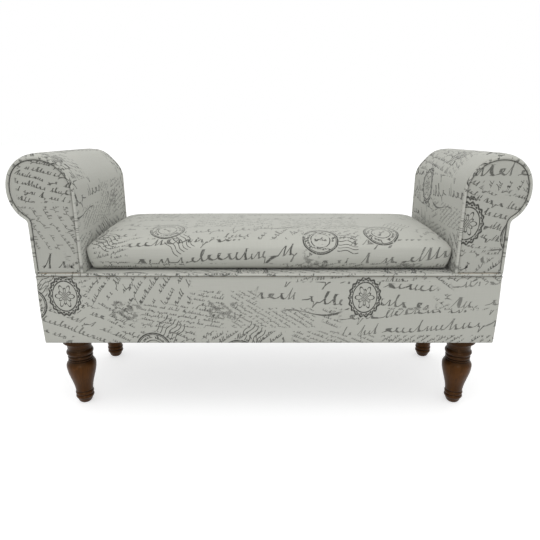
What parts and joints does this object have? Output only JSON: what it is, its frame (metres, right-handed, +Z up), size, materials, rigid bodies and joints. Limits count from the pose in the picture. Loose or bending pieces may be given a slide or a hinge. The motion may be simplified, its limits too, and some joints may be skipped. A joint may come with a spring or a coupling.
{
  "type": "upholstered storage bench",
  "caption": "Fabric-covered storage bench with scroll arms at both ends, a hinged padded lid on folding stays over a lined well, and turned wooden legs.",
  "frame": {"origin": "on the floor under the middle of the bench", "axes": "+X to the right along the seat, +Y from front to back, +Z up"},
  "size_m": [1.0198, 0.3409, 0.554],
  "materials": {
    "printed_linen": "matte",
    "piping_linen": "matte",
    "walnut": "satin",
    "plywood": "matte",
    "pine": "matte",
    "card": "matte",
    "wadding": "matte",
    "foam": "matte",
    "black_cloth": "matte",
    "zinc_steel": "satin",
    "rubber": "matte"
  },
  "bodies": {
    "base": {"base_front_panel": "plywood", "base_back_panel": "plywood", "base_left_end": "plywood", "base_right_end": "plywood", "base_floor": "plywood", "well_left_side": "plywood", "well_right_side": "plywood", "left_deck": "plywood", "right_deck": "plywood", "front_rail": "pine", "hinge_batten": "pine", "corner_blocks": "pine", "base_wadding": "wadding", "base_band": "printed_linen", "base_top_cover": "printed_linen", "base_piping": "piping_linen", "well_lining": "black_cloth", "dust_cover": "black_cloth", "leg_front_left": "walnut", "leg_front_right": "walnut", "leg_back_left": "walnut", "leg_back_right": "walnut", "leg_bolts": "zinc_steel", "leg_washers": "zinc_steel", "leg_nuts": "zinc_steel", "left_arm_boards": "plywood", "left_arm_rails": "pine", "left_arm_card": "card", "left_arm_padding": "wadding", "left_arm_sleeve": "printed_linen", "left_arm_front_facing": "printed_linen", "left_arm_back_facing": "printed_linen", "left_arm_front_piping": "piping_linen", "left_arm_back_piping": "piping_linen", "right_arm_boards": "plywood", "right_arm_rails": "pine", "right_arm_card": "card", "right_arm_padding": "wadding", "right_arm_sleeve": "printed_linen", "right_arm_front_facing": "printed_linen", "right_arm_back_facing": "printed_linen", "right_arm_front_piping": "piping_linen", "right_arm_back_piping": "piping_linen", "arm_bolts": "zinc_steel", "hinge_base_leaves": "zinc_steel", "hinge_pins": "zinc_steel", "hinge_base_screws": "zinc_steel", "stay_box_brackets": "zinc_steel"},
    "lid": {"hinge_lid_leaves": "zinc_steel", "hinge_lid_screws": "zinc_steel", "stay_lid_brackets": "zinc_steel", "lid_board": "plywood", "lid_foam": "foam", "lid_cover": "printed_linen", "lid_lining": "black_cloth", "lid_bumpers": "rubber"},
    "left_stay_lower": {"left_stay_lower_link": "zinc_steel"},
    "left_stay_upper": {"left_stay_upper_link": "zinc_steel"},
    "right_stay_lower": {"right_stay_lower_link": "zinc_steel"},
    "right_stay_upper": {"right_stay_upper_link": "zinc_steel"}
  },
  "joints": [
    {"name": "lid_hinge", "type": "hinge", "parent": "base", "child": "lid", "pos_m": [0, 0.1697, 0.32175], "axis": [-1, 0, 0], "range_deg": [0, 95]},
    {"name": "left_stay_box_pivot", "type": "hinge", "parent": "base", "child": "left_stay_lower", "pos_m": [-0.3455, 0.1327, 0.2087], "axis": [-1, 0, 0], "range_deg": [0, 95]},
    {"name": "left_stay_knee", "type": "hinge", "parent": "left_stay_lower", "child": "left_stay_upper", "pos_m": [-0.3455, 0.0327, 0.1997], "axis": [-1, 0, 0], "range_deg": [-95, 0]},
    {"name": "right_stay_box_pivot", "type": "hinge", "parent": "base", "child": "right_stay_lower", "pos_m": [0.3455, 0.1327, 0.2087], "axis": [-1, 0, 0], "range_deg": [0, 95]},
    {"name": "right_stay_knee", "type": "hinge", "parent": "right_stay_lower", "child": "right_stay_upper", "pos_m": [0.3455, 0.0327, 0.1997], "axis": [-1, 0, 0], "range_deg": [-95, 0]}
  ],
  "couplings": [
    {"joint": "left_stay_box_pivot", "follows": "lid_hinge", "ratio": 1},
    {"joint": "left_stay_knee", "follows": "lid_hinge", "ratio": -1},
    {"joint": "right_stay_box_pivot", "follows": "lid_hinge", "ratio": 1},
    {"joint": "right_stay_knee", "follows": "lid_hinge", "ratio": -1}
  ]
}
